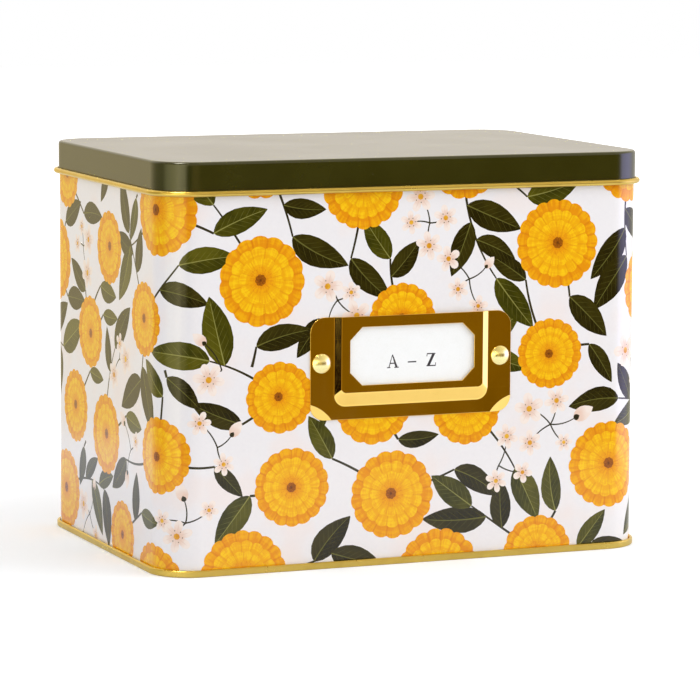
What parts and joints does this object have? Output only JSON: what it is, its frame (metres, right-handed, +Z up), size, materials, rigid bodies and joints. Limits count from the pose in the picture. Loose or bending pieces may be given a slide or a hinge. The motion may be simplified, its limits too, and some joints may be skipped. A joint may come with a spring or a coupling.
{
  "type": "card tin",
  "caption": "Rectangular printed tin for index or recipe cards, with a slip-on lid and a brass label holder whose card slides out at the top.",
  "frame": {"origin": "middle of the foot, on the surface that the tin stands on", "axes": "+Z up, the label holder faces -Y, +X along the wide side to the right as seen from the front"},
  "size_m": [0.174, 0.1204, 0.133],
  "materials": {
    "printed_wall": "gloss print on white coated tinplate",
    "gold_lacquer": "clear gold lacquer on tinplate",
    "olive_enamel": "satin gloss olive enamel",
    "holder_brass": "polished",
    "brad_brass": "polished",
    "label_paper": "smooth white card"
  },
  "bodies": {
    "tin": {"body_wall": "printed_wall", "bottom_panel": "gold_lacquer", "label_holder": "holder_brass", "brad_cap_left": "brad_brass", "brad_cap_right": "brad_brass", "brad_prongs_left": "brad_brass", "brad_prongs_right": "brad_brass"},
    "lid": {"lid": "olive_enamel"},
    "card": {"label_card": "label_paper"}
  },
  "joints": [
    {"name": "lid_lift", "type": "slide", "parent": "tin", "child": "lid", "axis": [0, 0, 1], "range_m": [0, 0.06]},
    {"name": "card_slide", "type": "slide", "parent": "tin", "child": "card", "axis": [0, 0, 1], "range_m": [0, 0.028]}
  ]
}
